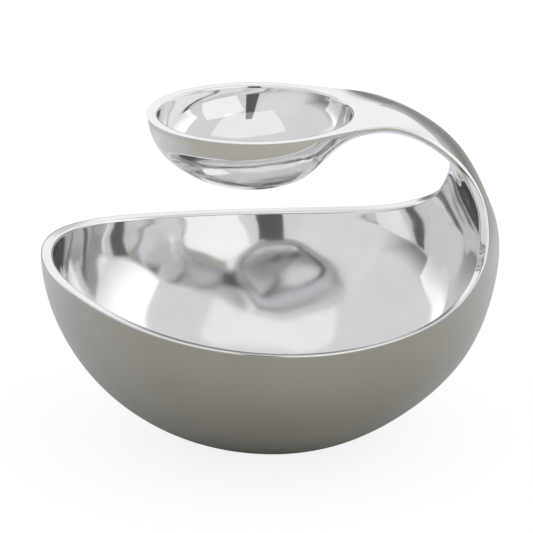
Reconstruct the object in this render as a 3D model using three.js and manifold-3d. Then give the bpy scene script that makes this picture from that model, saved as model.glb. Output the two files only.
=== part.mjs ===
// Chip and dip server: a round chip bowl whose rim rises on one side into a neck that
// curls over and carries a small round dip bowl above it. Cast and polished aluminium.
// Millimetres, +Z up, +X towards the neck; the origin is on the base plane under the bowl's centre.

import * as THREE from 'three';
import { mergeVertices } from 'three/addons/utils/BufferGeometryUtils.js';
import Module from 'manifold-3d';

// ---- Driving dimensions -------------------------------------------------------------------
const BODY_RADIUS = 160;       // chip bowl, outside
const EQUATOR_Z = 137.4;       // height where the body is widest
const BODY_BELOW = 145;        // the body's semi-axis below its equator; the base is cut flat at z = 0
const BODY_ABOVE = 117.3;      // and above it, where only the neck follows the body
const INSIDE_RADIUS = 154.5;   // chip bowl, inside: a 5.5 mm wall under a wider rim band
const INSIDE_BELOW = 131.5;    // the inside's semi-axis below the equator: a floor of about 6 mm
const CUP_X = -10.4;           // dip bowl centre
const CUP_RADIUS = 74;         // dip bowl, outside
const CUP_TOP = 233.4;         // plane of its rim
const CUP_EDGE = 2.4;          // upright edge of that rim
const CUP_TUCK = 0.2;          // and how far it leans in
const CUP_DEPTH = 49;          // outside, below the edge
const HOLLOW_RADIUS = 67;      // dip bowl, inside
const HOLLOW_DEPTH = 42;
const HOLLOW_POWER = 2.2;      // superellipse power of the hollow's profile: a little fuller than an ellipse
const HOLLOW_LEAN = 0.2;       // the hollow leans away from the neck as it goes down

// ---- Mesh density -------------------------------------------------------------------------
const ARC_STEPS = 24;          // across each section, from one rim edge to the other
const STATION_GAP = 0.19;      // between stations on the bowl and the dip bowl
const NECK_GAP = 0.14;         // and on the neck, which bends more
const HOLLOW_TURNS = 72;
const HOLLOW_STEPS = 14;

// ---- Stations -----------------------------------------------------------------------------
// The shape is a loft. Each station t holds half of a symmetric section: the outer rim edge and
// the inner rim edge as [x, y, z], and the middle of the outer and inner skins as [x, z] at y = 0.
// outArc and inArc are the angles in degrees that each skin's arc turns through from its middle
// to its rim edge. t is about the length along the rim divided by 56 mm, so 20 degrees of the bowl.
const RIM_START = 0;
const NECK_START = 8.0;
const CUP_START = 10.1;
const RIM_END = 13.6;

const OUTER_TIP_ARC = 88;      // arcs of the two skins at the far tip, where the section shrinks to a point
const INNER_TIP_ARC = 79;
const FLAT_ARC = 2;            // arc of a flat top

const degrees = THREE.MathUtils.degToRad;

// A point of an ellipsoid's middle section below the equator; angle 0 is the far tip, 90 the
// bottom and 180 the neck side.
function bodyMiddle(angle, radius, below) {
  const a = degrees(angle);
  return [-radius * Math.cos(a), EQUATOR_Z - below * Math.sin(a)];
}

function bodyRadiusAt(z) {
  const depth = z < EQUATOR_Z ? BODY_BELOW : BODY_ABOVE;
  return BODY_RADIUS * Math.sqrt(1 - ((z - EQUATOR_Z) / depth) ** 2);
}

// Angle that the arc of an elliptical section turns through, from the middle point to the edge.
function ellipseArc(edge, middle, radius, below) {
  const from = new THREE.Vector2(edge[0], (edge[2] - EQUATOR_Z) * radius / below);
  const to = new THREE.Vector2(middle[0], (middle[1] - EQUATOR_Z) * radius / below);
  const line = to.clone().sub(from).normalize();
  const centre = to.clone().addScaledVector(line, -to.dot(line));
  const reach = to.distanceTo(centre);
  const cosine = from.clone().sub(centre).dot(line) / reach;
  return THREE.MathUtils.radToDeg(Math.acos(THREE.MathUtils.clamp(cosine, -1, 1)));
}

// Chip bowl: the rim edge by its direction (degrees from the far tip) and height, the direction of
// the middle point in the same station, and the rim band's width and its slope down to the inside.
const BOWL_RIM = [
  { t: 0, turn: 0, z: 134.8, middle: 1, band: 8.5, drop: 1.5 },
  { t: 1, turn: 20, z: 133.2, middle: 20.5, band: 8.3, drop: 1.5 },
  { t: 2, turn: 40, z: 126.5, middle: 41, band: 8, drop: 1.5 },
  { t: 3, turn: 60, z: 118.5, middle: 62, band: 8, drop: 1.4 },
  { t: 4, turn: 80, z: 113.2, middle: 84, band: 8, drop: 1.3 },
  { t: 5, turn: 100, z: 112.5, middle: 108, band: 8, drop: 1.5 },
  { t: 6, turn: 120, z: 117.4, middle: 135, band: 7.8, drop: 2.4 },
  { t: 7, turn: 140, z: 132.2, middle: 161, band: 7.4, drop: 3.8 },
  { t: 7.4, turn: 148.5, z: 145, middle: 173, band: 7.3, drop: 4.2 },
];

function bowlStation({ t, turn, z, middle, band, drop }) {
  const c = Math.cos(degrees(turn));
  const s = Math.sin(degrees(turn));
  const radius = bodyRadiusAt(z);
  const outEdge = [-radius * c, radius * s, z];
  const inEdge = [-(radius - band) * c, (radius - band) * s, z - drop];
  if (t === RIM_START) {
    // The section has shrunk to the two tip points, and its arcs are those of the sections beside it.
    const outMiddle = [outEdge[0], outEdge[2]];
    const inMiddle = [inEdge[0], inEdge[2]];
    return { t, outEdge, inEdge, outMiddle, inMiddle, outArc: OUTER_TIP_ARC, inArc: INNER_TIP_ARC };
  }
  const outMiddle = bodyMiddle(middle, BODY_RADIUS, BODY_BELOW);
  const inMiddle = bodyMiddle(middle, INSIDE_RADIUS, INSIDE_BELOW);
  const outArc = ellipseArc(outEdge, outMiddle, BODY_RADIUS, BODY_BELOW);
  const inArc = ellipseArc(inEdge, inMiddle, INSIDE_RADIUS, INSIDE_BELOW);
  return { t, outEdge, inEdge, outMiddle, inMiddle, outArc, inArc };
}

// Neck: it leaves the bowl's wall, narrows, bends over and flares towards the dip bowl.
const NECK_RIM = [
  { t: 7.86, outEdge: [141.8, 65.2, 163], inEdge: [135.6, 61.9, 160.2],
    outMiddle: [158.9, 149.7], inMiddle: [151, 147], inArc: 34.5 },
  { t: 8.24, outEdge: [141.2, 52.2, 178], inEdge: [136, 50.3, 174.4],
    outMiddle: [151.5, 171.1], inMiddle: [143.2, 168], inArc: 22 },
  { t: 8.55, outEdge: [135.6, 44.2, 191], inEdge: [131, 43.2, 187.2],
    outMiddle: [143.1, 189], inMiddle: [133.2, 184.2], inArc: 14 },
  { t: 8.78, outEdge: [128.3, 40, 200.9], inEdge: [124.8, 39.4, 197.8],
    outMiddle: [134.5, 202], inMiddle: [124.4, 194.9], inArc: 12 },
  { t: 9, outEdge: [119.5, 38, 209.5], inEdge: [116.8, 37.7, 206.6],
    outMiddle: [124, 212.9], inMiddle: [114.6, 203.8], inArc: 13 },
  { t: 9.3, outEdge: [106, 37.8, 219.5], inEdge: [104.2, 37.6, 216.7],
    outMiddle: [108.8, 223.7], inMiddle: [101, 212.2], inArc: 18 },
  { t: 9.6, outEdge: [91, 39.2, 227.3], inEdge: [89.9, 39, 224.7],
    outMiddle: [93.6, 231.4], inMiddle: [88.6, 216.9], inArc: 23 },
  { t: 9.87, outEdge: [77.2, 42.3, 231.6], inEdge: [76.8, 42.1, 229],
    outMiddle: [78.8, 234.6], inMiddle: [76.6, 218.7], inArc: 28 },
  { t: 10.1, outEdge: [65.2, 46.8, 233.1], inEdge: [65, 46.6, 230.6],
    outMiddle: [66, 234.5], inMiddle: [66, 218.6], inArc: 33 },
];

// The neck's crown is part of a circle across the section.
function neckStation(station) {
  const { outEdge, outMiddle } = station;
  const rise = Math.hypot(outMiddle[0] - outEdge[0], outMiddle[1] - outEdge[2]);
  return { ...station, outArc: THREE.MathUtils.radToDeg(2 * Math.atan(rise / outEdge[1])) };
}

// Flare: the edges run straight to the dip bowl's round rim, the crown fades out and the
// underside dips into the dip bowl.
const FLARE = [
  { t: 10.25, x: 57.5, y: 49.5, crown: 0.35, inMiddle: [58, 217.3], inArc: 38 },
  { t: 10.4, x: 50, y: 52.7, crown: 0, inMiddle: [50.5, 214.6], inArc: 45 },
  { t: 10.55, x: 42, y: 56.4, crown: 0, inMiddle: [42.3, 209], inArc: 54 },
  { t: 10.72, x: 33, y: 60.8, crown: 0, inMiddle: [33.2, 200.4], inArc: 65 },
];

function flareStation({ t, x, y, crown, inMiddle, inArc }) {
  return {
    t, outEdge: [x, y, CUP_TOP], inEdge: [x - 0.1, y - CUP_TUCK, CUP_TOP - CUP_EDGE],
    outMiddle: [x, CUP_TOP + crown], inMiddle, outArc: FLAT_ARC, inArc,
  };
}

// Dip bowl: half an ellipsoid under a round rim. turn is the direction from its centre, 180 at the
// far tip; the underside is raised a little where the neck joins it.
const CUP_RIM = [
  { t: 10.9, turn: 62, inArc: 76, raised: 4.2 },
  { t: 11.31, turn: 80, inArc: 86, raised: 1 },
  { t: 11.88, turn: 105, inArc: 90, raised: 0 },
  { t: 12.45, turn: 130, inArc: 90, raised: 0 },
  { t: 13.03, turn: 155, inArc: 90, raised: 0 },
  { t: RIM_END, turn: 180, inArc: 90, raised: 0 },
];

function cupStation({ t, turn, inArc, raised }) {
  const s = Math.sin(degrees(turn));
  const x = CUP_X + CUP_RADIUS * Math.cos(degrees(turn));
  const edgeZ = CUP_TOP - CUP_EDGE;
  return {
    t, outEdge: [x, CUP_RADIUS * s, CUP_TOP], inEdge: [x, (CUP_RADIUS - CUP_TUCK) * s, edgeZ],
    outMiddle: [x, CUP_TOP], inMiddle: [x, edgeZ - CUP_DEPTH * s + raised], outArc: FLAT_ARC, inArc,
  };
}

const STATIONS = [
  ...BOWL_RIM.map(bowlStation),
  ...NECK_RIM.map(neckStation),
  ...FLARE.map(flareStation),
  ...CUP_RIM.map(cupStation),
];

// ---- Smooth interpolation of the stations ---------------------------------------------------
// Cubic spline through (knots, values): returns a function of t. At both ends it is either level,
// for a value that is the same on both sides of the mirror plane, or free to run out straight.
function cubicSpline(knots, values, levelEnds) {
  const n = knots.length;
  const firstGap = knots[1] - knots[0];
  const lastGap = knots[n - 1] - knots[n - 2];
  const curvature = new Array(n).fill(0);
  const carry = new Array(n).fill(0);
  if (levelEnds) {
    curvature[0] = -0.5;
    carry[0] = 3 * (values[1] - values[0]) / firstGap ** 2;
  }
  for (let i = 1; i < n - 1; i++) {
    const before = knots[i] - knots[i - 1];
    const after = knots[i + 1] - knots[i];
    const weight = before / (before + after);
    const pivot = weight * curvature[i - 1] + 2;
    curvature[i] = (weight - 1) / pivot;
    const bend = (values[i + 1] - values[i]) / after - (values[i] - values[i - 1]) / before;
    carry[i] = (6 * bend / (before + after) - weight * carry[i - 1]) / pivot;
  }
  if (levelEnds) {
    const pull = -6 * (values[n - 1] - values[n - 2]) / lastGap ** 2;
    curvature[n - 1] = (pull - carry[n - 2]) / (2 + curvature[n - 2]);
  }
  for (let i = n - 2; i >= 0; i--) curvature[i] = curvature[i] * curvature[i + 1] + carry[i];
  return (t) => {
    let i = 0;
    while (i < n - 2 && t > knots[i + 1]) i++;
    const h = knots[i + 1] - knots[i];
    const a = (knots[i + 1] - t) / h;
    const b = (t - knots[i]) / h;
    const bend = (a ** 3 - a) * curvature[i] + (b ** 3 - b) * curvature[i + 1];
    return a * values[i] + b * values[i + 1] + bend * h * h / 6;
  };
}

const knots = STATIONS.map((station) => station.t);
const spline = (pick, levelEnds) => cubicSpline(knots, STATIONS.map(pick), levelEnds);
const point = (name, levelEnds) => levelEnds.map((level, k) => spline((station) => station[name][k], level));
const TRACKS = {
  outEdge: point('outEdge', [true, false, true]),
  inEdge: point('inEdge', [true, false, true]),
  outMiddle: point('outMiddle', [true, false]),
  inMiddle: point('inMiddle', [true, false]),
  outArc: [spline((station) => station.outArc, false)],
  inArc: [spline((station) => station.inArc, false)],
};

const read = (name, t) => TRACKS[name].map((track) => track(t));

// Points of one skin at station t, from the +Y rim edge through the middle to the -Y rim edge.
function skinRow(t, side) {
  const [ex, ey, ez] = read(`${side}Edge`, t);
  const [mx, mz] = read(`${side}Middle`, t);
  const arc = degrees(Math.max(read(`${side}Arc`, t)[0], 1));
  const row = [];
  for (let k = 0; k <= ARC_STEPS; k++) {
    const u = 1 - 2 * k / ARC_STEPS;
    const lift = (Math.cos(arc * u) - Math.cos(arc)) / (1 - Math.cos(arc));
    const y = ey * Math.sin(arc * u) / Math.sin(arc);
    row.push(new THREE.Vector3(ex + (mx - ex) * lift, y, ez + (mz - ez) * lift));
  }
  return row;
}

// Closed ring of a station: over the outer skin one way and back over the inner skin.
function sectionRing(t) {
  return [...skinRow(t, 'out'), ...skinRow(t, 'in').reverse()];
}

function stationsBetween(start, end, gap) {
  const count = Math.round((end - start) / gap);
  return Array.from({ length: count + 1 }, (_, k) => start + (end - start) * k / count);
}

// ---- Closed bodies --------------------------------------------------------------------------
// Joins rings of equal length into a skin. A tip ring that has shrunk needs no cap;
// any other end ring is closed by a strip between its outer and inner rows.
function loft(rings, capFirst, capLast) {
  const points = rings.flat();
  const size = rings[0].length;
  const index = [];
  for (let i = 0; i < rings.length - 1; i++) {
    for (let k = 0; k < size; k++) {
      const a = i * size + k;
      const b = i * size + (k + 1) % size;
      index.push(a, a + size, b, b, a + size, b + size);
    }
  }
  const strip = (start, flip) => {
    for (let k = 0; k < ARC_STEPS; k++) {
      const outer = [start + k, start + k + 1];
      const inner = [start + size - 1 - k, start + size - 2 - k];
      const quad = [outer[0], outer[1], inner[0], inner[0], outer[1], inner[1]];
      index.push(...(flip ? quad.reverse() : quad));
    }
  };
  if (capFirst) strip(0, false);
  if (capLast) strip((rings.length - 1) * size, true);
  return solidGeometry(points, index);
}

// Merges equal points and drops the triangles that have shrunk to nothing at the tips.
function solidGeometry(points, index) {
  const geometry = new THREE.BufferGeometry().setFromPoints(points);
  geometry.setIndex(index);
  const merged = mergeVertices(geometry, 1e-3);
  const kept = [];
  const all = merged.index.array;
  for (let i = 0; i < all.length; i += 3) {
    const [a, b, c] = [all[i], all[i + 1], all[i + 2]];
    if (a !== b && b !== c && c !== a) kept.push(a, b, c);
  }
  merged.setIndex(kept);
  return merged;
}

const wasm = await Module();
wasm.setup();

function toManifold(geometry) {
  const bare = new THREE.BufferGeometry();
  bare.setAttribute('position', geometry.attributes.position.clone());
  bare.setIndex(geometry.index);
  const merged = mergeVertices(bare, 1e-4);
  return new wasm.Manifold(new wasm.Mesh({
    numProp: 3,
    vertProperties: new Float32Array(merged.attributes.position.array),
    triVerts: new Uint32Array(merged.index.array),
  }));
}

function fromManifold(manifold) {
  const mesh = manifold.getMesh();
  const geometry = new THREE.BufferGeometry();
  geometry.setAttribute('position', new THREE.BufferAttribute(mesh.vertProperties, 3));
  geometry.setIndex(new THREE.BufferAttribute(mesh.triVerts, 1));
  return geometry;
}

function cut(geometry, tool) {
  return fromManifold(toManifold(geometry).subtract(toManifold(tool)));
}

function chipBowl() {
  const rings = stationsBetween(RIM_START, NECK_START, STATION_GAP).map(sectionRing);
  const body = loft(rings, false, true);
  const below = new THREE.BoxGeometry(2 * BODY_RADIUS, 2 * BODY_RADIUS, 20);
  below.translate(0, 0, -10);
  return cut(body, below);
}

function neck() {
  const rings = stationsBetween(NECK_START, CUP_START, NECK_GAP).map(sectionRing);
  return loft(rings, true, true);
}

// Hollow of the dip bowl: a turned superellipse that leans away from the neck, carried on above
// the rim plane.
function hollowTool() {
  const above = 10;              // height of the tool above the rim plane
  const profile = [new THREE.Vector2(0, -HOLLOW_DEPTH)];
  for (let k = 1; k <= HOLLOW_STEPS; k++) {
    const a = k / HOLLOW_STEPS * Math.PI / 2;
    const r = HOLLOW_RADIUS * Math.sin(a) ** (2 / HOLLOW_POWER);
    profile.push(new THREE.Vector2(r, -HOLLOW_DEPTH * Math.cos(a) ** (2 / HOLLOW_POWER)));
  }
  profile.push(new THREE.Vector2(HOLLOW_RADIUS, above), new THREE.Vector2(0, above));
  const tool = new THREE.LatheGeometry(profile, HOLLOW_TURNS);
  tool.rotateX(Math.PI / 2);
  tool.applyMatrix4(new THREE.Matrix4().makeShear(0, 0, 0, 0, HOLLOW_LEAN, 0));
  tool.translate(CUP_X, 0, CUP_TOP);
  return tool;
}

function dipBowl() {
  const rings = stationsBetween(CUP_START, RIM_END, STATION_GAP).map(sectionRing);
  return cut(loft(rings, true, false), hollowTool());
}

// ---- The object -----------------------------------------------------------------------------
function polishedAlloy() {
  return new THREE.MeshStandardMaterial({ color: 0xcfcfd2, metalness: 1, roughness: 0.12 });
}

function satinAlloy() {
  return new THREE.MeshStandardMaterial({ color: 0xa9a8a4, metalness: 1, roughness: 0.35 });
}

function part(name, geometry, material) {
  const mesh = new THREE.Mesh(geometry, material);
  mesh.name = name;
  return mesh;
}

const server = new THREE.Group();
server.add(part('chip_bowl', chipBowl(), satinAlloy()));
server.add(part('neck', neck(), polishedAlloy()));
server.add(part('dip_bowl', dipBowl(), polishedAlloy()));

export default server;
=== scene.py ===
"""Chip and dip server: one seamless form in cast and polished aluminium, built as a fine loft.

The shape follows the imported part: its stations are in millimetres in the part's own frame, and every
finished point is in metres. Rim edges are rounded, but for the dip bowl's outer one. The outside of the
chip bowl and the foot of the neck are satin, and everything else is hand polished.
"""
import math

import bpy
import numpy as np
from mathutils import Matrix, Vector


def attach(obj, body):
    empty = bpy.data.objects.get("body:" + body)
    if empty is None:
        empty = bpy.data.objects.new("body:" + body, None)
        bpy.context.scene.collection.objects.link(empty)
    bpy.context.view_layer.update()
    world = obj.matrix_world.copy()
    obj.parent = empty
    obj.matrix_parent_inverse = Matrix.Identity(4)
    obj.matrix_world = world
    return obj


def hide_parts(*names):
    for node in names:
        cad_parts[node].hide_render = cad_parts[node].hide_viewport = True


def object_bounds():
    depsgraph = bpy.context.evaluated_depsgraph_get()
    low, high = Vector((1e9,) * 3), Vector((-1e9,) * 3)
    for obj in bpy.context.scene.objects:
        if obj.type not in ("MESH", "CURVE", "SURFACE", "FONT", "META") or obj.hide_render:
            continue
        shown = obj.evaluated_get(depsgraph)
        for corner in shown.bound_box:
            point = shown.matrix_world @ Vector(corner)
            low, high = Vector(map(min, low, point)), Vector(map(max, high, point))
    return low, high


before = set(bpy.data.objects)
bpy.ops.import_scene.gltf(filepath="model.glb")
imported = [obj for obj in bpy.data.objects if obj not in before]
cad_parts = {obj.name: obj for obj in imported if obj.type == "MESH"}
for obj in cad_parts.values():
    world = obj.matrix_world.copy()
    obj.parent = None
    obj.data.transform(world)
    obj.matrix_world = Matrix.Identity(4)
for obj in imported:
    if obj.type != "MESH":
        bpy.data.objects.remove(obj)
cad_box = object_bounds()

MM = 0.001

# ---- Driving dimensions, in millimetres -----------------------------------------------------------
BODY_RADIUS = 160.0            # chip bowl, outside
EQUATOR_Z = 137.4              # height where the body is widest
BODY_BELOW = 145.0             # the body's semi-axis below its equator
BODY_ABOVE = 117.3             # and above it
INSIDE_RADIUS = 154.5          # chip bowl, inside
INSIDE_BELOW = 131.5
CUP_X = -10.4                  # dip bowl centre
CUP_RADIUS = 74.0              # dip bowl, outside
CUP_TOP = 233.4                # plane of its rim
CUP_EDGE = 2.4                 # upright edge of that rim
CUP_TUCK = 0.2                 # and how far it leans in
FLARE_LEAN = 0.1               # the flare's edge leans along x by this
CUP_DEPTH = 49.0               # outside, below the edge
HOLLOW_RADIUS = 67.0           # dip bowl, inside
HOLLOW_DEPTH = 42.0
HOLLOW_POWER = 2.2             # superellipse power of the hollow's profile
HOLLOW_LEAN = 0.2              # the hollow leans away from the neck as it goes down
OUTER_TIP_ARC = 88.0           # arcs of the two skins at the far tip of the chip bowl
INNER_TIP_ARC = 79.0
FLAT_ARC = 2.0                 # arc of a flat top

# Stations are counted by t, about the length along the rim divided by T_LENGTH.
T_LENGTH = 56.0
RIM_START = 0.0
NECK_START = 8.0
CUP_START = 10.1
RIM_END = 13.6

# ---- Rounding, mesh density and hand finish -------------------------------------------------------
EDGE_ROUND = 1.9               # how far a rounded rim edge reaches into each neighbouring face
EDGE_SHARE = 0.42              # and at most this share of the rim band
HOLLOW_ROUND = 2.2             # the same for the edge of the dip bowl's hollow
BASE_BLEND = 0.5               # softness of the edge where the base is ground flat
ARC_STEPS = 96                 # across each skin
ROUND_STEPS = 6                # across each rounded edge
BAND_STEPS = 3                 # across the rim band between its rounded edges
ROW_GAP = 0.04                 # t between rows on both bowls
NECK_ROW_GAP = 0.03            # and on the neck
TIP_ROWS = (0.006, 0.014, 0.024, 0.036, 0.052, 0.07, 0.09, 0.115, 0.145, 0.18)     # t from a tip to its rows
PATCH_STEPS = 6                # across the dip bowl's flat rim
HOLLOW_STEPS = 36
T_STEP = 1e-3                  # small steps of t and u, for directions
FIT_STEP = 1e-4                # and for fitting a point to a skin
FIT_ROUNDS = 12
SATIN_REACH = 2.0              # limit of the satin value, about the distance inside the satin's edge
POLISH_WAVE = 0.28             # height of the hand-polished waviness
POLISH_FADE = 14.0             # it dies out over this distance from the rim
WAVE_COUNT = 16
WAVE_LENGTHS = (25.0, 70.0)    # shortest and longest wave
WAVE_SEED = 7

# ---- Stations: the same as the part's -------------------------------------------------------------
# Chip bowl: t, direction of the rim edge from the far tip, its height, direction of the middle point,
# width of the rim band and its drop towards the inside.
BOWL_RIM = (
    (0.0, 0.0, 134.8, 1.0, 8.5, 1.5),
    (1.0, 20.0, 133.2, 20.5, 8.3, 1.5),
    (2.0, 40.0, 126.5, 41.0, 8.0, 1.5),
    (3.0, 60.0, 118.5, 62.0, 8.0, 1.4),
    (4.0, 80.0, 113.2, 84.0, 8.0, 1.3),
    (5.0, 100.0, 112.5, 108.0, 8.0, 1.5),
    (6.0, 120.0, 117.4, 135.0, 7.8, 2.4),
    (7.0, 140.0, 132.2, 161.0, 7.4, 3.8),
    (7.4, 148.5, 145.0, 173.0, 7.3, 4.2),
)
# Neck: t, outer edge, inner edge, middle of the outer skin, middle of the inner skin, inner arc.
NECK_RIM = (
    (7.86, (141.8, 65.2, 163.0), (135.6, 61.9, 160.2), (158.9, 149.7), (151.0, 147.0), 34.5),
    (8.24, (141.2, 52.2, 178.0), (136.0, 50.3, 174.4), (151.5, 171.1), (143.2, 168.0), 22.0),
    (8.55, (135.6, 44.2, 191.0), (131.0, 43.2, 187.2), (143.1, 189.0), (133.2, 184.2), 14.0),
    (8.78, (128.3, 40.0, 200.9), (124.8, 39.4, 197.8), (134.5, 202.0), (124.4, 194.9), 12.0),
    (9.0, (119.5, 38.0, 209.5), (116.8, 37.7, 206.6), (124.0, 212.9), (114.6, 203.8), 13.0),
    (9.3, (106.0, 37.8, 219.5), (104.2, 37.6, 216.7), (108.8, 223.7), (101.0, 212.2), 18.0),
    (9.6, (91.0, 39.2, 227.3), (89.9, 39.0, 224.7), (93.6, 231.4), (88.6, 216.9), 23.0),
    (9.87, (77.2, 42.3, 231.6), (76.8, 42.1, 229.0), (78.8, 234.6), (76.6, 218.7), 28.0),
    (10.1, (65.2, 46.8, 233.1), (65.0, 46.6, 230.6), (66.0, 234.5), (66.0, 218.6), 33.0),
)
# Flare: t, x and y of the edge, crown, middle of the underside, its arc.
FLARE = (
    (10.25, 57.5, 49.5, 0.35, (58.0, 217.3), 38.0),
    (10.4, 50.0, 52.7, 0.0, (50.5, 214.6), 45.0),
    (10.55, 42.0, 56.4, 0.0, (42.3, 209.0), 54.0),
    (10.72, 33.0, 60.8, 0.0, (33.2, 200.4), 65.0),
)
# Dip bowl: t, direction from its centre, arc of the underside, how far its middle is raised.
CUP_RIM = (
    (10.9, 62.0, 76.0, 4.2),
    (11.31, 80.0, 86.0, 1.0),
    (11.88, 105.0, 90.0, 0.0),
    (12.45, 130.0, 90.0, 0.0),
    (13.03, 155.0, 90.0, 0.0),
    (13.6, 180.0, 90.0, 0.0),
)
# Satin tongue on the neck's outer skin: t and the share of the half width that it covers, which is below
# zero past its tip.
SATIN_EDGE = (
    (8.75, 1.06), (9.05, 1.0), (9.15, 0.9), (9.27, 0.72), (9.4, 0.55),
    (9.55, 0.4), (9.7, 0.25), (9.83, 0.1), (9.94, -0.02), (10.1, -0.25),
)


def body_middle(angle, radius, below):
    a = math.radians(angle)
    return (-radius * math.cos(a), EQUATOR_Z - below * math.sin(a))


def body_radius_at(z):
    depth = BODY_BELOW if z < EQUATOR_Z else BODY_ABOVE
    return BODY_RADIUS * math.sqrt(1 - ((z - EQUATOR_Z) / depth) ** 2)


def ellipse_arc(edge, middle, radius, below):
    """Angle that an elliptical section turns through, from its middle point to its edge."""
    start = np.array([edge[0], (edge[2] - EQUATOR_Z) * radius / below])
    end = np.array([middle[0], (middle[1] - EQUATOR_Z) * radius / below])
    line = (end - start) / np.linalg.norm(end - start)
    centre = end - line * (end @ line)
    reach = np.linalg.norm(end - centre)
    return math.degrees(math.acos(np.clip((start - centre) @ line / reach, -1, 1)))


def station(t, out_edge, in_edge, out_middle, in_middle, out_arc, in_arc):
    return (t, *out_edge, *in_edge, *out_middle, *in_middle, out_arc, in_arc)


def bowl_station(t, turn, z, middle, band, drop):
    c = math.cos(math.radians(turn))
    s = math.sin(math.radians(turn))
    r = body_radius_at(z)
    out_edge = (-r * c, r * s, z)
    in_edge = (-(r - band) * c, (r - band) * s, z - drop)
    if t == RIM_START:
        tips = ((out_edge[0], out_edge[2]), (in_edge[0], in_edge[2]))
        return station(t, out_edge, in_edge, *tips, OUTER_TIP_ARC, INNER_TIP_ARC)
    out_middle = body_middle(middle, BODY_RADIUS, BODY_BELOW)
    in_middle = body_middle(middle, INSIDE_RADIUS, INSIDE_BELOW)
    out_arc = ellipse_arc(out_edge, out_middle, BODY_RADIUS, BODY_BELOW)
    in_arc = ellipse_arc(in_edge, in_middle, INSIDE_RADIUS, INSIDE_BELOW)
    return station(t, out_edge, in_edge, out_middle, in_middle, out_arc, in_arc)


def neck_station(t, out_edge, in_edge, out_middle, in_middle, in_arc):
    rise = math.hypot(out_middle[0] - out_edge[0], out_middle[1] - out_edge[2])
    out_arc = math.degrees(2 * math.atan(rise / out_edge[1]))
    return station(t, out_edge, in_edge, out_middle, in_middle, out_arc, in_arc)


def flare_station(t, x, y, crown, in_middle, in_arc):
    in_edge = (x - FLARE_LEAN, y - CUP_TUCK, CUP_TOP - CUP_EDGE)
    return station(t, (x, y, CUP_TOP), in_edge, (x, CUP_TOP + crown), in_middle, FLAT_ARC, in_arc)


def cup_station(t, turn, in_arc, raised):
    s = math.sin(math.radians(turn))
    x = CUP_X + CUP_RADIUS * math.cos(math.radians(turn))
    edge_z = CUP_TOP - CUP_EDGE
    in_edge = (x, (CUP_RADIUS - CUP_TUCK) * s, edge_z)
    in_middle = (x, edge_z - CUP_DEPTH * s + raised)
    return station(t, (x, CUP_RADIUS * s, CUP_TOP), in_edge, (x, CUP_TOP), in_middle, FLAT_ARC, in_arc)


STATIONS = np.array(
    [bowl_station(*row) for row in BOWL_RIM]
    + [neck_station(*row) for row in NECK_RIM]
    + [flare_station(*row) for row in FLARE]
    + [cup_station(*row) for row in CUP_RIM]
)
# Columns of a station after t. Both edges' x and z and both middles' x are level at the tips.
EDGE_TRACKS = {"out": (0, 1, 2), "in": (3, 4, 5)}
MIDDLE_TRACKS = {"out": (6, 7), "in": (8, 9)}
ARC_TRACK = {"out": 10, "in": 11}
LEVEL_TRACKS = (0, 2, 3, 5, 6, 8)


def cubic_track(knots, values, level_ends):
    """Cubic spline through the values, level at both ends or free to run out straight, as a function of t."""
    n = len(knots)
    h = np.diff(knots)
    slope = np.diff(values) / h
    matrix = np.zeros((n, n))
    right = np.zeros(n)
    for i in range(1, n - 1):
        matrix[i, i - 1: i + 2] = h[i - 1], 2 * (h[i - 1] + h[i]), h[i]
        right[i] = 6 * (slope[i] - slope[i - 1])
    matrix[0, 0] = matrix[-1, -1] = 1
    if level_ends:
        matrix[0, :2] = 2 * h[0], h[0]
        right[0] = 6 * slope[0]
        matrix[-1, -2:] = h[-1], 2 * h[-1]
        right[-1] = -6 * slope[-1]
    bend = np.linalg.solve(matrix, right)

    def read(t):
        t = np.asarray(t, float)
        i = np.clip(np.searchsorted(knots, t, side="right") - 1, 0, n - 2)
        a = (knots[i + 1] - t) / h[i]
        b = (t - knots[i]) / h[i]
        curve = ((a ** 3 - a) * bend[i] + (b ** 3 - b) * bend[i + 1]) * h[i] ** 2 / 6
        return a * values[i] + b * values[i + 1] + curve

    return read


KNOTS = STATIONS[:, 0]
TRACKS = [cubic_track(KNOTS, column, k in LEVEL_TRACKS) for k, column in enumerate(STATIONS[:, 1:].T)]


def edge_at(side, t):
    return np.stack([TRACKS[k](t) for k in EDGE_TRACKS[side]], -1)


def skin_at(side, t, u):
    """Point of a skin: t along the rim, u from 1 at the +Y edge to -1 at the -Y edge."""
    edge = edge_at(side, t)
    middle_x, middle_z = (TRACKS[k](t) for k in MIDDLE_TRACKS[side])
    arc = np.radians(np.maximum(TRACKS[ARC_TRACK[side]](t), 1.0))
    lift = (np.cos(arc * u) - np.cos(arc)) / (1 - np.cos(arc))
    x = edge[..., 0] + (middle_x - edge[..., 0]) * lift
    y = edge[..., 1] * np.sin(arc * u) / np.sin(arc)
    z = edge[..., 2] + (middle_z - edge[..., 2]) * lift
    return np.stack([x, y, z], -1)


# ---- Rounded rim ----------------------------------------------------------------------------------
def unit(v):
    """Unit vectors; a vector of no length stays as it is."""
    return v / np.maximum(np.linalg.norm(v, axis=-1, keepdims=True), 1e-12)


def across(v, along):
    """The part of v at right angles to along, as a unit vector."""
    return unit(v - along * np.sum(v * along, -1, keepdims=True))


def rim_tangent(side, t):
    """Direction of the rim as t grows; at both tips it crosses the mirror plane at right angles."""
    before = np.clip(t - T_STEP, RIM_START, RIM_END)
    after = np.clip(t + T_STEP, RIM_START, RIM_END)
    tangent = edge_at(side, after) - edge_at(side, before)
    tangent[t <= RIM_START + T_STEP] = (0, 1, 0)
    tangent[t >= RIM_END - T_STEP] = (0, -1, 0)
    return unit(tangent)


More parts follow.
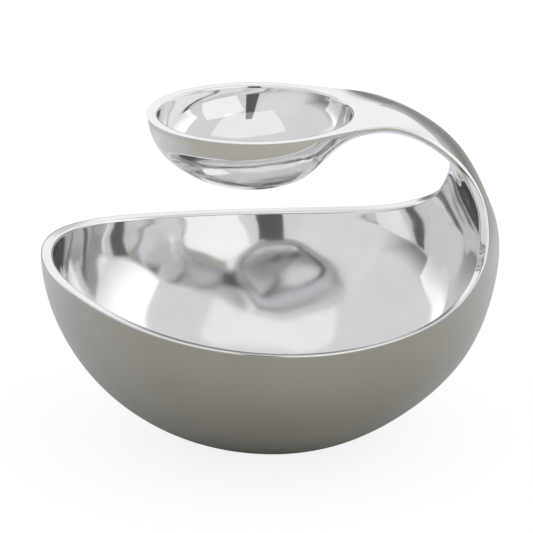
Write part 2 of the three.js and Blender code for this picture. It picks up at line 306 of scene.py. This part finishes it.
def into_skin(side, t):
    """Direction from the rim edge into the skin, square to the rim."""
    clear_of_tips = 0.02
    inner = np.clip(t, RIM_START + clear_of_tips, RIM_END - clear_of_tips)
    ones = np.ones_like(inner)
    inward = skin_at(side, inner, ones - T_STEP) - skin_at(side, inner, ones)
    return across(inward, rim_tangent(side, t))


def beside_flat_rim(t):
    """Level direction square to the dip bowl's outer rim edge. Known fault: it points outwards, so the
    edge there flares into a lip about 1 mm past the part's own edge, where it should be rounded."""
    tangent = rim_tangent("out", t)
    return unit(np.stack([tangent[:, 1], -tangent[:, 0], np.zeros(len(t))], -1))


def nearest_on_skin(side, target, t, u):
    """Parameters of the skin's point nearest to each target, by Newton steps from a first guess."""
    most_t, most_u = 0.1, 0.2
    for _ in range(FIT_ROUNDS):
        here = skin_at(side, t, u)
        by_t = (skin_at(side, t + FIT_STEP, u) - here) / FIT_STEP
        by_u = (skin_at(side, t, u + FIT_STEP) - here) / FIT_STEP
        gap = target - here
        tt = np.sum(by_t * by_t, -1)
        uu = np.sum(by_u * by_u, -1)
        tu = np.sum(by_t * by_u, -1)
        gt = np.sum(gap * by_t, -1)
        gu = np.sum(gap * by_u, -1)
        whole = np.maximum(tt * uu - tu * tu, 1e-9)
        t = t + np.clip((gt * uu - gu * tu) / whole, -most_t, most_t)
        t = np.clip(t, RIM_START + T_STEP, RIM_END - T_STEP)
        u = np.clip(u + np.clip((gu * tt - gt * tu) / whole, -most_u, most_u), 0.0, 1.0)
    return t, u


def even_rows(start, end, gap):
    """Even values of t after start, up to and including end."""
    count = round((end - start) / gap)
    return np.linspace(start, end, count + 1)[1:]


def row_places():
    """Values of t for the rows: close together at both tips, where the rows shrink to a point."""
    tip = np.array(TIP_ROWS)
    bowl = np.concatenate([[RIM_START], tip, even_rows(tip[-1], NECK_START, ROW_GAP)])
    neck = even_rows(NECK_START, CUP_START, NECK_ROW_GAP)
    cup = even_rows(CUP_START, RIM_END - tip[-1], ROW_GAP)
    return np.concatenate([bowl, neck, cup, RIM_END - tip[-2::-1], [RIM_END]])


def rounded(before, corner, after, steps):
    """Points of a rounded edge from before to after, pulled towards the corner."""
    w = np.linspace(0, 1, steps + 1)[:, None, None]
    return (1 - w) ** 2 * before + 2 * w * (1 - w) * corner + w ** 2 * after


def mirrored(points):
    return points * np.array([1.0, -1.0, 1.0])


class Loft:
    """Rows of points across both skins and the rim strip between them, one of each for each value of t."""

    def __init__(self):
        self.t = row_places()
        out_edge = edge_at("out", self.t)
        in_edge = edge_at("in", self.t)
        band = in_edge - out_edge
        reach = np.minimum(EDGE_ROUND, EDGE_SHARE * np.linalg.norm(band, axis=-1))[:, None]
        on_flat = self.t > FLARE[1][0]
        out_aside = np.where(on_flat[:, None], beside_flat_rim(self.t), into_skin("out", self.t))
        in_inward = into_skin("in", self.t)
        out_band = across(band, rim_tangent("out", self.t))
        in_band = across(-band, rim_tangent("in", self.t))
        self.flat_edge = out_edge + reach * out_aside
        self.out_t, self.out_u = self.trim("out", self.flat_edge, reach[:, 0])
        self.in_t, self.in_u = self.trim("in", in_edge + reach * in_inward, reach[:, 0])
        self.out_row = self.row("out", self.out_t, self.out_u)
        self.in_row = self.row("in", self.in_t, self.in_u)
        out_start = np.where(on_flat[:, None], self.flat_edge, self.out_row[:, 0])
        outer = rounded(out_start, out_edge, out_edge + reach * out_band, ROUND_STEPS)
        inner = rounded(in_edge + reach * in_band, in_edge, self.in_row[:, 0], ROUND_STEPS)
        w = np.linspace(0, 1, BAND_STEPS + 1)[1:-1, None, None]
        middle = outer[-1] * (1 - w) + inner[0] * w
        self.strip = np.concatenate([outer, middle, inner]).transpose(1, 0, 2)
        self.out_row[on_flat, 0] = self.flat_edge[on_flat]
        self.out_row[on_flat, -1] = mirrored(self.flat_edge[on_flat])

    def trim(self, side, target, reach):
        """Parameters of the line where the rounded edge leaves the skin, which curves round both tips."""
        offset = reach / T_LENGTH
        near_tip = 1.0
        just_inside = 0.97
        from_end = RIM_END - self.t
        first_t = np.clip(np.hypot(self.t, offset), RIM_START, RIM_END)
        first_t = np.where(from_end < near_tip, RIM_END - np.hypot(from_end, offset), first_t)
        first_u = np.where(self.t < near_tip, np.arctan2(self.t, offset) / (math.pi / 2), just_inside)
        first_u = np.where(from_end < near_tip, np.arctan2(from_end, offset) / (math.pi / 2), first_u)
        return nearest_on_skin(side, target, first_t, first_u)

    def row(self, side, t, u):
        """Points across a skin from u to -u; the first and the last row are single points."""
        u = u.copy()
        u[[0, -1]] = 0
        share = np.linspace(1, -1, ARC_STEPS + 1)
        return skin_at(side, t[:, None], u[:, None] * share[None, :])


# ---- One closed skin, then three pieces -----------------------------------------------------------
SHARE = np.abs(np.linspace(1, -1, ARC_STEPS + 1))


def satin_distance(loft):
    """How far inside the satin area each point of the outer rows lies, negative where it is polished."""
    width = np.interp(loft.out_t, *np.array(SATIN_EDGE).T)
    half = TRACKS[EDGE_TRACKS["out"][1]](loft.out_t)
    inside = half[:, None] * (width[:, None] - loft.out_u[:, None] * SHARE[None, :])
    return np.clip(inside, -SATIN_REACH, SATIN_REACH)


def polish_fade(loft):
    """0 at the rim, 1 well inside, along the inner rows."""
    lengths = np.linalg.norm(np.diff(loft.in_row, axis=1), axis=-1).sum(1) / 2
    x = np.clip((1 - SHARE[None, :]) * lengths[:, None] / POLISH_FADE, 0, 1)
    return x * x * (3 - 2 * x)


def polish_wave(points):
    """Shallow waves in all directions, as hand polishing leaves them; the longer ones stand higher."""
    rng = np.random.default_rng(WAVE_SEED)
    unit_length = 50
    spread = 2.5
    height = np.zeros(len(points))
    for _ in range(WAVE_COUNT):
        direction = unit(rng.normal(size=3))
        length = rng.uniform(*WAVE_LENGTHS)
        phase = rng.uniform(0, 2 * math.pi)
        height += length / unit_length * np.sin(points @ direction * 2 * math.pi / length + phase)
    return height / spread


def flat_rim_height(x, y):
    """Height of the top surface where the neck's crown runs out into the dip bowl's flat rim."""
    before_seam = 0.3
    samples = 60
    t = np.linspace(CUP_START - before_seam, FLARE[2][0], samples)
    across_x = (edge_at("out", t)[:, 0] + TRACKS[MIDDLE_TRACKS["out"][0]](t)) / 2
    near = np.interp(-x, -across_x, t)
    half = TRACKS[EDGE_TRACKS["out"][1]](near)
    return skin_at("out", near, np.clip(y / half, -1, 1))[..., 2]


class Skin:
    """Points and faces of the whole server; each face knows its piece."""

    def __init__(self, loft):
        self.loft = loft
        self.points = []
        self.satin = []
        self.wave = []
        self.count = 0
        self.faces = {"chip_bowl": [], "neck": [], "dip_bowl": []}
        self.caps = {"chip_bowl": [], "neck": [], "dip_bowl": []}
        self.strip_inside = loft.strip.shape[1] - 2
        self.rings = self.add_rings()
        self.neck_row = int(np.argmin(abs(loft.t - NECK_START)))
        self.cup_row = int(np.argmin(abs(loft.t - CUP_START)))
        self.add_loft_faces()
        self.add_dip_bowl_top()
        self.add_seams()

    def add(self, points, satin=-SATIN_REACH, wave=0.0):
        """Keeps the points and returns their indices."""
        points = points.reshape(-1, 3)
        self.points.append(points)
        self.satin.append(np.broadcast_to(satin, (len(points),)).astype(float))
        self.wave.append(np.broadcast_to(wave, (len(points),)).astype(float))
        first = self.count
        self.count += len(points)
        return np.arange(first, self.count)

    def add_rings(self):
        """One closed ring for each row: outer skin, rim strip at -Y, inner skin and rim strip at +Y."""
        loft = self.loft
        rows = len(loft.t)
        past_seam = 0.01
        on_cup = loft.t[:, None] > CUP_START + past_seam
        satin = np.where(on_cup, -SATIN_REACH, satin_distance(loft))
        outer = self.add(loft.out_row, satin.ravel()).reshape(rows, -1)
        strip = loft.strip[:, 1:-1]
        minus_y = self.add(mirrored(strip)).reshape(rows, -1)
        inner = self.add(loft.in_row, wave=polish_fade(loft).ravel()).reshape(rows, -1)
        plus_y = self.add(strip).reshape(rows, -1)
        return np.concatenate([outer, minus_y, inner[:, ::-1], plus_y[:, ::-1]], axis=1)

    def piece_of_row(self, i):
        if i < self.neck_row:
            return "chip_bowl"
        return "neck" if i < self.cup_row else "dip_bowl"

    def add_loft_faces(self):
        """Quads from each ring to the next; the dip bowl's top is left open for its flat rim and hollow."""
        for i in range(len(self.rings) - 1):
            piece = self.piece_of_row(i)
            here = self.rings[i]
            there = self.rings[i + 1]
            quads = np.stack([here, there, np.roll(there, -1), np.roll(here, -1)], -1)
            if piece == "dip_bowl":
                quads = quads[ARC_STEPS:]
            self.faces[piece].append(quads)

    def add_dip_bowl_top(self):
        """The flat rim, from its outline in to the hollow, and the hollow down to its middle."""
        rings = self.rings
        outline = np.concatenate([
            rings[self.cup_row:, 0],
            rings[self.cup_row:-1, ARC_STEPS][::-1],
            rings[self.cup_row, ARC_STEPS - 1:0:-1],
        ])
        start = np.concatenate(self.points)[outline]
        turn = np.arctan2(start[:, 1], start[:, 0] - CUP_X)
        circle = np.stack([np.cos(turn), np.sin(turn)], -1)
        centre = np.array([CUP_X, 0.0])
        lip = centre + (HOLLOW_RADIUS + HOLLOW_ROUND) * circle
        offset = start[:, 2] - flat_rim_height(start[:, 0], start[:, 1])
        loops = [outline]
        for w in np.linspace(0, 1, PATCH_STEPS + 1)[1:]:
            flat = start[:, :2] * (1 - w) + lip * w
            z = flat_rim_height(flat[:, 0], flat[:, 1]) + offset * (1 - w)
            loops.append(self.add(np.column_stack([flat, z])))
        lip_point = self.points[-1]
        edge = centre + HOLLOW_RADIUS * circle
        corner = np.column_stack([edge, flat_rim_height(edge[:, 0], edge[:, 1])])
        first_angle = math.acos((HOLLOW_ROUND / HOLLOW_DEPTH) ** (HOLLOW_POWER / 2))
        wall = self.hollow_ring(first_angle, circle)
        for ring in rounded(lip_point, corner, wall, ROUND_STEPS)[1:]:
            loops.append(self.add(ring))
        for angle in np.linspace(first_angle, 0, HOLLOW_STEPS + 1)[1:]:
            ring = self.hollow_ring(angle, circle)
            depth = CUP_TOP - ring[0, 2]
            loops.append(self.add(ring, wave=min(depth / POLISH_FADE, 1.0)))
        for outer, inner in zip(loops, loops[1:]):
            quads = np.stack([outer, np.roll(outer, -1), np.roll(inner, -1), inner], -1)
            self.faces["dip_bowl"].append(quads)

    def hollow_ring(self, angle, circle):
        """Ring of the hollow's wall: angle is 0 in the middle of its floor and a right angle at the top."""
        radius = HOLLOW_RADIUS * math.sin(angle) ** (2 / HOLLOW_POWER)
        depth = HOLLOW_DEPTH * max(math.cos(angle), 0.0) ** (2 / HOLLOW_POWER)
        lean = np.array([CUP_X - HOLLOW_LEAN * depth, 0.0])
        return np.column_stack([lean + radius * circle, np.full(len(circle), CUP_TOP - depth)])

    def add_seams(self):
        """Faces that close each piece where it meets the next one."""
        seams = ((self.neck_row, "chip_bowl", "neck"), (self.cup_row, "neck", "dip_bowl"))
        first_inner = ARC_STEPS + 1 + self.strip_inside
        last_inner = first_inner + ARC_STEPS
        for row, before, after in seams:
            ring = self.rings[row]
            outer = ring[:ARC_STEPS + 1]
            inner = ring[first_inner:last_inner + 1][::-1]
            forward = [(outer[k], outer[k + 1], inner[k + 1], inner[k]) for k in range(ARC_STEPS)]
            forward.append((*ring[last_inner + 1:], outer[0], inner[0]))
            forward.append(tuple(ring[ARC_STEPS:first_inner + 1]))
            self.caps[before] += [tuple(reversed(face)) for face in forward]
            self.caps[after] += forward


def welded(points):
    """Index of one point for each place, and the place that each point belongs to."""
    decimals = 4
    places = np.round(points, decimals)
    _, first, place = np.unique(places, axis=0, return_index=True, return_inverse=True)
    return first, place.ravel()


def face_normal(points, face):
    corners = points[list(face)]
    turned = np.roll(corners, -1, axis=0)
    return unit(np.cross(corners, turned).sum(0))


def point_normals(points, quads):
    """Smooth normals, weighted by face area."""
    a, b, c, d = (points[quads[:, corner]] for corner in range(4))
    face_size = np.cross(c - a, d - b)
    total = np.zeros_like(points)
    for corner in range(4):
        np.add.at(total, quads[:, corner], face_size)
    return unit(total)


def without_repeats(face):
    """The face without repeated neighbours, or None if what is left isn't a face."""
    kept = [v for i, v in enumerate(face) if v != face[i - 1]]
    return tuple(kept) if len(set(kept)) == len(kept) and len(kept) > 2 else None


def ground_flat(points):
    """The base is flat, within hundredths of a millimetre of z = 0, with a softly broken edge."""
    z = points[:, 2]
    points[:, 2] = (z + np.sqrt(z * z + BASE_BLEND ** 2)) / 2
    return points


def finished_skin(skin):
    """Welded points in metres, held inside the part's box, with their normals and satin values, and
    each piece's faces and seam faces."""
    first, place = welded(np.concatenate(skin.points))
    points = ground_flat(np.concatenate(skin.points)[first])
    satin = np.concatenate(skin.satin)[first]
    wave = np.concatenate(skin.wave)[first]
    faces = {name: place[np.concatenate(groups)] for name, groups in skin.faces.items()}
    quads = np.concatenate(list(faces.values()))
    normals = point_normals(points, quads)
    points = points - normals * (POLISH_WAVE * wave * (1 + polish_wave(points)) / 2)[:, None]
    normals = point_normals(points, quads)
    caps = {name: [place[list(face)] for face in group] for name, group in skin.caps.items()}
    within_box = np.clip(points * MM, *np.array(cad_box))
    return within_box, normals, satin, faces, caps


# ---- Objects and materials ------------------------------------------------------------------------
def add_object(name, data):
    obj = bpy.data.objects.new(name, data)
    bpy.context.scene.collection.objects.link(obj)
    return obj


def make_piece(name, points, normals, satin, quads, caps):
    """A mesh object of its own points, shaded with the normals of the whole form."""
    smooth = [f for f in map(without_repeats, quads.tolist()) if f]
    flat = [f for f in (without_repeats(cap.tolist()) for cap in caps) if f]
    used = np.unique(np.concatenate([np.array(f) for f in smooth + flat]))
    local = {int(v): i for i, v in enumerate(used)}
    mesh = bpy.data.meshes.new(name)
    mesh.from_pydata(points[used].tolist(), [], [[local[v] for v in f] for f in smooth + flat])
    mesh.polygons.foreach_set("use_smooth", [True] * len(smooth) + [False] * len(flat))
    loop_normals = []
    for face in smooth:
        loop_normals += [tuple(normals[v]) for v in face]
    for face in flat:
        loop_normals += [tuple(face_normal(points, face))] * len(face)
    mesh.normals_split_custom_set(loop_normals)
    attribute = mesh.attributes.new("satin", "FLOAT", "POINT")
    attribute.data.foreach_set("value", satin[used])
    return add_object(name, mesh)


def new_material(name):
    material = bpy.data.materials.new(name)
    material.use_nodes = True
    return material, material.node_tree.nodes, material.node_tree.links


def bare_material(name):
    """A material with nothing but its output node."""
    material, nodes, links = new_material(name)
    nodes.remove(nodes["Principled BSDF"])
    return material, nodes, links


def coordinates(nodes, kind="Object"):
    return nodes.new("ShaderNodeTexCoord").outputs[kind]


def separated(nodes, links, vector):
    """The X, Y and Z of a vector, by name."""
    node = nodes.new("ShaderNodeSeparateXYZ")
    links.new(vector, node.inputs["Vector"])
    return node.outputs


def noise(nodes, links, place, scale, detail):
    node = nodes.new("ShaderNodeTexNoise")
    node.inputs["Scale"].default_value = scale
    node.inputs["Detail"].default_value = detail
    links.new(place, node.inputs["Vector"])
    return node.outputs["Fac"]


def ranged(nodes, links, value, low, high, source=(0.0, 1.0)):
    """The value, mapped from its source range to low and high, and held at both ends."""
    node = nodes.new("ShaderNodeMapRange")
    node.inputs["From Min"].default_value, node.inputs["From Max"].default_value = source
    node.inputs["To Min"].default_value = low
    node.inputs["To Max"].default_value = high
    links.new(value, node.inputs["Value"])
    return node.outputs["Result"]


def bump(nodes, links, height, distance):
    node = nodes.new("ShaderNodeBump")
    node.inputs["Distance"].default_value = distance
    links.new(height, node.inputs["Height"])
    return node.outputs["Normal"]


def combined(nodes, links, operation, a, b):
    node = nodes.new("ShaderNodeMath")
    node.operation = operation
    links.new(a, node.inputs[0])
    links.new(b, node.inputs[1])
    return node.outputs["Value"]


def alloy_shader(nodes, links, metallic, colour, roughness, normal):
    """One finish: metal of that colour, with its own roughness map and fine relief."""
    shader = nodes.new("ShaderNodeBsdfPrincipled")
    shader.inputs["Metallic"].default_value = metallic
    links.new(colour, shader.inputs["Base Color"])
    links.new(roughness, shader.inputs["Roughness"])
    links.new(normal, shader.inputs["Normal"])
    return shader.outputs["BSDF"]


def tinted(nodes, links, value, dark, light, ends=(0.0, 1.0)):
    """Colour from dark to light while the value goes from one of the ends to the other."""
    ramp = nodes.new("ShaderNodeValToRGB")
    for element, colour, position in zip(ramp.color_ramp.elements, (dark, light), ends):
        element.position = position
        element.color = (*colour, 1)
    links.new(value, ramp.inputs["Fac"])
    return ramp.outputs["Color"]


# Finishes: dark and light colours, roughness from one to the other, scales of clouds and grain, relief.
CLOUD_ENDS = (0.3, 0.7)        # noise values between which the colour changes
POLISH_COLOURS = ((0.84, 0.84, 0.85), (0.88, 0.88, 0.885))
POLISH_ROUGHNESS = (0.03, 0.085)
POLISH_METALLIC = 0.94         # a little scattered light, or the deepest reflections end in black
POLISH_HAZE_SCALE = 45.0
POLISH_GRAIN_SCALE = 1400.0
POLISH_GRAIN_HEIGHT = 0.000002
LOW_HAZE = 0.085               # extra roughness at the lower of these heights, none at the upper
LOW_HAZE_HEIGHTS = (0.02, 0.12)
SATIN_COLOURS = ((0.60, 0.596, 0.585), (0.64, 0.636, 0.625))
SATIN_ROUGHNESS = (0.21, 0.27)
SATIN_CLOUD_SCALE = 22.0
SATIN_GRAIN_SCALE = 2600.0
SATIN_GRAIN_HEIGHT = 0.00001
SATIN_EDGE_SOFTNESS = (-0.35, 0.35)     # satin values over which it turns from polished to satin


def polished_finish(nodes, links, place):
    """Hand polished: nearly a mirror, with faint buffing haze that is stronger low down in the bowl."""
    haze = noise(nodes, links, place, POLISH_HAZE_SCALE, detail=3.0)
    grain = noise(nodes, links, place, POLISH_GRAIN_SCALE, detail=2.0)
    colour = tinted(nodes, links, haze, *POLISH_COLOURS, ends=CLOUD_ENDS)
    height = separated(nodes, links, place)["Z"]
    low_haze = ranged(nodes, links, height, LOW_HAZE, 0.0, source=LOW_HAZE_HEIGHTS)
    roughness = combined(nodes, links, "ADD", ranged(nodes, links, haze, *POLISH_ROUGHNESS), low_haze)
    relief = bump(nodes, links, grain, POLISH_GRAIN_HEIGHT)
    return alloy_shader(nodes, links, POLISH_METALLIC, colour, roughness, relief)


def satin_finish(nodes, links, place):
    """Fine satin: a soft grain, slightly cloudy."""
    cloud = noise(nodes, links, place, SATIN_CLOUD_SCALE, detail=4.0)
    grain = noise(nodes, links, place, SATIN_GRAIN_SCALE, detail=3.0)
    colour = tinted(nodes, links, cloud, *SATIN_COLOURS, ends=CLOUD_ENDS)
    roughness = ranged(nodes, links, cloud, *SATIN_ROUGHNESS)
    relief = bump(nodes, links, grain, SATIN_GRAIN_HEIGHT)
    return alloy_shader(nodes, links, 1.0, colour, roughness, relief)


def polished_alloy():
    material, nodes, links = bare_material("polished_alloy")
    finish = polished_finish(nodes, links, coordinates(nodes))
    links.new(finish, nodes["Material Output"].inputs["Surface"])
    return material


def satin_and_polished_alloy():
    """Satin or polished by the satin value of the mesh, which is above zero inside the satin area."""
    material, nodes, links = bare_material("satin_alloy")
    place = coordinates(nodes)
    value = nodes.new("ShaderNodeAttribute")
    value.attribute_name = "satin"
    share = ranged(nodes, links, value.outputs["Fac"], 0.0, 1.0, source=SATIN_EDGE_SOFTNESS)
    mix = nodes.new("ShaderNodeMixShader")
    links.new(share, mix.inputs["Fac"])
    links.new(polished_finish(nodes, links, place), mix.inputs[1])
    links.new(satin_finish(nodes, links, place), mix.inputs[2])
    links.new(mix.outputs["Shader"], nodes["Material Output"].inputs["Surface"])
    return material


# ---- Floor, light and camera, in metres and degrees -----------------------------------------------
CAMERA_TURN = -7.89            # round the object from straight in front
CAMERA_RISE = 19.115           # above level
CAMERA_DISTANCE = 2.414
CAMERA_LENS = 232.7            # focal length and sensor width in millimetres
SENSOR = 36.0
AIM_HEIGHT = 0.122             # point on the axis that the camera turns about
AIM_SHIFT = (-0.0024, -0.00161)    # and how far right and up of it the view's centre is
FLOOR_HALF = 6.0
FLOOR_GREY = (0.2, 0.2, 0.2, 1)    # the floor that the camera sees: its colour, and its own glow on top
FLOOR_GLOW = 0.86
TABLE_GREY = (0.56, 0.54, 0.478)   # the table that the object sees
# colour of the painted pool of light on the table, just behind the object
TABLE_PAINTED_LIGHT = (0.86, 0.875, 0.94)
FLAG_DISTANCE = 1.15
FLAG_WIDTH = 0.34
FLAG_HEIGHT = 3.0
FLAG_GREY = (0.12, 0.12, 0.12, 1)
FLAG_ROUGHNESS = 0.9
WORLD_DIM = (0.24, 0.24, 0.24)
WORLD_BRIGHT = (1.0, 1.0, 1.0)
PANEL_AIM = Vector((0, 0, 0.12))
# Softboxes: name, direction round the object, height in degrees, distance, size, brightness and colour
# where it isn't white.
PANELS = (
    ("overhead", -8, 80, 1.3, (1.3, 1.2), 0.22),
    ("front_left", -50, 26, 1.5, (1.25, 1.55), 0.04, (1.0, 0.9, 0.9)),
    ("front_right", 34, 26, 1.5, (1.25, 1.55), 0.3),
    ("right", 104, 22, 1.4, (1.4, 0.9), 0.5),
    ("left", -128, 12, 1.5, (0.9, 0.5), 0.5),
)


def away_from_object(turn, rise=0.0):
    """Direction that many degrees round the object from straight in front, and above level."""
    turn = math.radians(turn)
    rise = math.radians(rise)
    return Vector((math.sin(turn) * math.cos(rise), -math.cos(turn) * math.cos(rise), math.sin(rise)))


def rightwards(turn):
    """Level direction to the right, seen from there."""
    turn = math.radians(turn)
    return Vector((math.cos(turn), math.sin(turn), 0))


def add_panel(name, turn, rise, distance, size, brightness, colour=(1.0, 1.0, 1.0)):
    """A softbox that faces the object; the camera doesn't see it."""
    away = away_from_object(turn, rise)
    light = bpy.data.lights.new(name, "AREA")
    light.shape = "RECTANGLE"
    light.size, light.size_y = size
    light.energy = brightness * math.pi * size[0] * size[1]
    light.color = colour
    panel = add_object(name, light)
    panel.location = PANEL_AIM + away * distance
    panel.rotation_euler = away.to_track_quat("Z", "Y").to_euler()
    panel.visible_camera = False


def table_grey_with_painted_light(nodes, links):
    """Grey in front of the object, with a painted pool of light just behind it, and grey again further away.
    """
    place = coordinates(nodes)
    length = nodes.new("ShaderNodeVectorMath")
    length.operation = "LENGTH"
    links.new(place, length.inputs[0])
    behind = ranged(nodes, links, separated(nodes, links, place)["Y"], 0.0, 1.0, source=(-0.15, 0.4))
    near = ranged(nodes, links, length.outputs["Value"], 1.0, 0.0, source=(0.5, 1.0))
    # painted pool of light on the table: brightest just behind the object, fading out further away
    painted_light_pool = combined(nodes, links, "MULTIPLY", behind, near)
    return tinted(nodes, links, painted_light_pool, TABLE_GREY, TABLE_PAINTED_LIGHT)


def add_sheet(name, corners):
    """A mesh object of one four-sided face."""
    mesh = bpy.data.meshes.new(name)
    mesh.from_pydata(corners, [], [(0, 1, 2, 3)])
    return add_object(name, mesh)


def add_flag():
    """A dark upright strip in front, which gives the polished metal its narrow dark reflections. The
    camera doesn't see it."""
    foot = away_from_object(CAMERA_TURN) * FLAG_DISTANCE
    side = rightwards(CAMERA_TURN) * FLAG_WIDTH / 2
    top = Vector((0, 0, FLAG_HEIGHT))
    flag = add_sheet("flag", [foot - side, foot + side, foot + side + top, foot - side + top])
    material, nodes, _ = new_material("dark_flag")
    nodes["Principled BSDF"].inputs["Base Color"].default_value = FLAG_GREY
    nodes["Principled BSDF"].inputs["Roughness"].default_value = FLAG_ROUGHNESS
    flag.data.materials.append(material)
    flag.visible_camera = False


def add_floor():
    """A plain pale floor that fills the view. The object sees a greyer one, as over a grey table, with a
    painted pool of light just behind the object.
    """
    half = FLOOR_HALF
    floor = add_sheet("floor", [(-half, -half, 0), (half, -half, 0), (half, half, 0), (-half, half, 0)])
    material, nodes, links = bare_material("pale_floor")
    shaded = nodes.new("ShaderNodeBsdfDiffuse")
    shaded.inputs["Color"].default_value = FLOOR_GREY
    glow = nodes.new("ShaderNodeEmission")
    glow.inputs["Strength"].default_value = FLOOR_GLOW
    pale = nodes.new("ShaderNodeAddShader")
    links.new(shaded.outputs["BSDF"], pale.inputs[0])
    links.new(glow.outputs["Emission"], pale.inputs[1])
    # the table's grey, with its painted pool of light behind the object
    table = nodes.new("ShaderNodeBsdfDiffuse")
    links.new(table_grey_with_painted_light(nodes, links), table.inputs["Color"])
    mix = nodes.new("ShaderNodeMixShader")
    links.new(nodes.new("ShaderNodeLightPath").outputs["Is Camera Ray"], mix.inputs["Fac"])
    links.new(table.outputs["BSDF"], mix.inputs[1])
    links.new(pale.outputs["Shader"], mix.inputs[2])
    links.new(mix.outputs["Shader"], nodes["Material Output"].inputs["Surface"])
    floor.data.materials.append(material)


def set_world():
    """Plain soft studio surroundings: brightest behind the object above the horizon, softer overhead and
    in front, and dim elsewhere."""
    world = bpy.data.worlds.new("studio")
    bpy.context.scene.world = world
    world.use_nodes = True
    nodes, links = world.node_tree.nodes, world.node_tree.links
    parts = separated(nodes, links, coordinates(nodes, "Generated"))
    overhead = ranged(nodes, links, parts["Z"], 0.0, 0.67, source=(0.14, 0.42))
    behind = ranged(nodes, links, parts["Y"], 0.0, 1.0, source=(0.3, 0.8))
    above_horizon = ranged(nodes, links, parts["Z"], 0.0, 1.0, source=(0.17, 0.27))
    sweep = combined(nodes, links, "MULTIPLY", behind, above_horizon)
    in_front = ranged(nodes, links, parts["Y"], 0.65, 0.0, source=(-0.3, 0.05))
    above_table = ranged(nodes, links, parts["Z"], 0.0, 1.0, source=(-0.05, 0.1))
    room = combined(nodes, links, "MULTIPLY", in_front, above_table)
    brightest = combined(nodes, links, "MAXIMUM", overhead, combined(nodes, links, "MAXIMUM", sweep, room))
    colour = tinted(nodes, links, brightest, WORLD_DIM, WORLD_BRIGHT)
    links.new(colour, nodes["Background"].inputs["Color"])
    nodes["Background"].inputs["Strength"].default_value = 1.0


def add_camera():
    away = away_from_object(CAMERA_TURN, CAMERA_RISE)
    right = rightwards(CAMERA_TURN)
    aim = Vector((0, 0, AIM_HEIGHT)) + right * AIM_SHIFT[0] + away.cross(right) * AIM_SHIFT[1]
    camera = bpy.data.cameras.new("camera")
    camera.lens = CAMERA_LENS
    camera.sensor_width = SENSOR
    obj = add_object("camera", camera)
    obj.location = aim + away * CAMERA_DISTANCE
    obj.rotation_euler = away.to_track_quat("Z", "Y").to_euler()
    bpy.context.scene.camera = obj


# ---- The scene ------------------------------------------------------------------------------------
bpy.context.scene.view_settings.view_transform = "Standard"
add_camera()
set_world()
add_floor()
add_flag()
for panel in PANELS:
    add_panel(*panel)

points, normals, satin, faces, caps = finished_skin(Skin(Loft()))
satin_with_polish = satin_and_polished_alloy()
# Node, material and slot. The neck has the satin tongue, but is mostly polished.
FINISHES = (
    ("chip_bowl", satin_with_polish, "satin_alloy"),
    ("neck", satin_with_polish, "polished_alloy"),
    ("dip_bowl", polished_alloy(), "polished_alloy"),
)
for node, material, slot in FINISHES:
    piece = make_piece(node + "_metal", points, normals, satin, faces[node], caps[node])
    piece.data.materials.append(material)
    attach(piece, "root")
    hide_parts(node)

bpy.context.view_layer.update()
